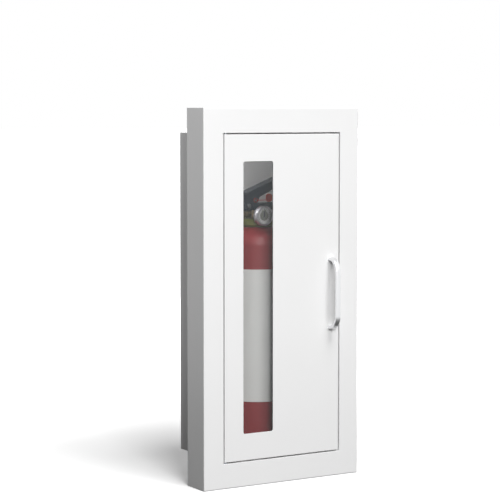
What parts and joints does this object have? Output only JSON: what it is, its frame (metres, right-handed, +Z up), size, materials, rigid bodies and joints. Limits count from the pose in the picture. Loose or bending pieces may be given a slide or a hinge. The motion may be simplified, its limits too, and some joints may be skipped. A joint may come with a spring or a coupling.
{
  "type": "semi-recessed fire extinguisher cabinet with extinguisher",
  "caption": "White steel semi-recessed wall cabinet with a square trim frame, a hinged door with a tall narrow window and D pull, and a red extinguisher standing inside.",
  "frame": {"origin": "centre of the tub's back face, which sits against the back of the wall recess", "axes": "+Z up, -Y out through the door, +X to the right as one faces the door"},
  "size_m": [0.343, 0.203, 0.711],
  "materials": {
    "white_powder_coat": "white powder coat, smooth semi-gloss with faint orange peel",
    "zinc_plated_steel": "bright zinc plate",
    "roller_nylon": "natural nylon",
    "bumper_rubber": "moulded black rubber",
    "red_enamel": "gloss red enamel",
    "label_vinyl": "plain printed vinyl, satin",
    "collar_plastic": "olive-green moulded plastic",
    "valve_brass": "forged and machined, dull",
    "black_enamel": "black powder coat",
    "bright_steel": "bright drawn steel",
    "seal_plastic": "red moulded plastic",
    "gauge_chrome": "polished plating",
    "dial_face": "printed dial with plain ticks",
    "gauge_glass": "clear",
    "glazing_rubber": "extruded black rubber",
    "clear_acrylic": "clear acrylic sheet",
    "satin_aluminium": "satin brushed"
  },
  "bodies": {
    "cabinet": {"tub_back": "white_powder_coat", "tub_left_wall": "white_powder_coat", "tub_right_wall": "white_powder_coat", "tub_top_wall": "white_powder_coat", "tub_bottom_wall": "white_powder_coat", "trim_top": "white_powder_coat", "trim_bottom": "white_powder_coat", "trim_left": "white_powder_coat", "trim_right": "white_powder_coat", "pivot_plate_top": "zinc_plated_steel", "pivot_plate_bottom": "zinc_plated_steel", "thrust_washer": "zinc_plated_steel", "roller_catch": "zinc_plated_steel", "catch_rollers": "roller_nylon", "door_bumpers": "bumper_rubber", "extinguisher_shell": "red_enamel", "foot_ring": "red_enamel", "label_band": "label_vinyl", "neck_collar": "collar_plastic", "valve_body": "valve_brass", "outlet_port": "valve_brass", "carry_handle": "black_enamel", "lever": "black_enamel", "lever_rivet": "bright_steel", "pull_pin": "bright_steel", "tamper_seal": "seal_plastic", "gauge_case": "gauge_chrome", "gauge_dial": "dial_face", "gauge_lens": "gauge_glass"},
    "door": {"door_panel": "white_powder_coat", "pivot_block_top": "zinc_plated_steel", "pivot_block_bottom": "zinc_plated_steel", "glazing_gasket": "glazing_rubber", "window_pane": "clear_acrylic", "glazing_retainer": "zinc_plated_steel", "retainer_studs": "zinc_plated_steel", "pull_handle": "satin_aluminium", "handle_screws": "zinc_plated_steel", "catch_strike": "zinc_plated_steel"}
  },
  "joints": [
    {"name": "door_hinge", "type": "hinge", "parent": "cabinet", "child": "door", "pos_m": [-0.123, -0.17, 0], "axis": [0, 0, -1], "range_deg": [0, 110]}
  ]
}
